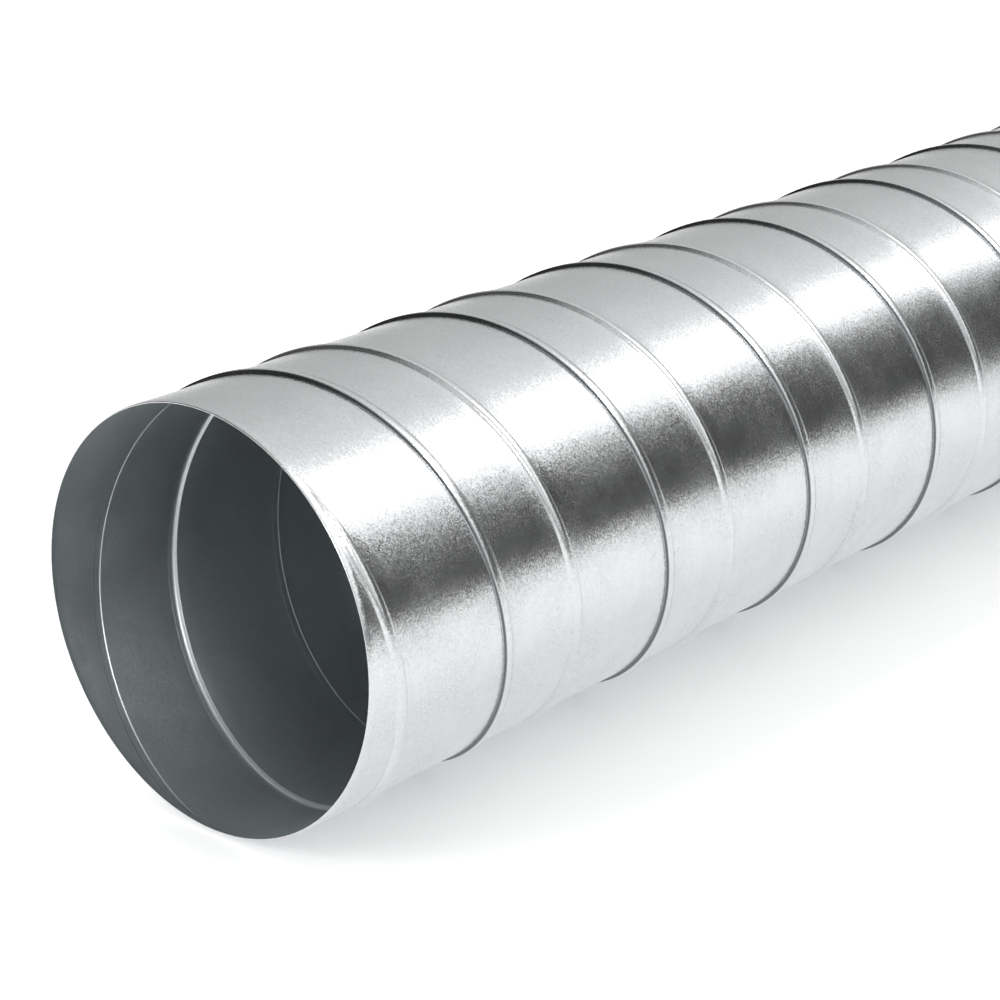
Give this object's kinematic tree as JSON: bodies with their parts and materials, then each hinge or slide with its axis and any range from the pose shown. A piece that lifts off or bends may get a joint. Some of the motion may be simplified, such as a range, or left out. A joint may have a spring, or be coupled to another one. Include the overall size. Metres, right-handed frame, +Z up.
{
  "type": "spiral duct",
  "caption": "Straight round ventilation duct wound from galvanised strip, with a helical lock seam and a stiffening rib, open at both ends.",
  "frame": {"origin": "on the floor, on the duct's axis, at the lower end", "axes": "+Z up along the duct's axis, from the end that it stands on to the end that the picture shows open; -Y is the middle of the side that the picture shows, and +X is the picture's upper side"},
  "size_m": [0.2046, 0.2046, 1],
  "materials": {
    "galvanised_sheet": "galvanised sheet with fine spangle"
  },
  "bodies": {
    "root": {"duct": "galvanised_sheet"}
  },
  "joints": []
}
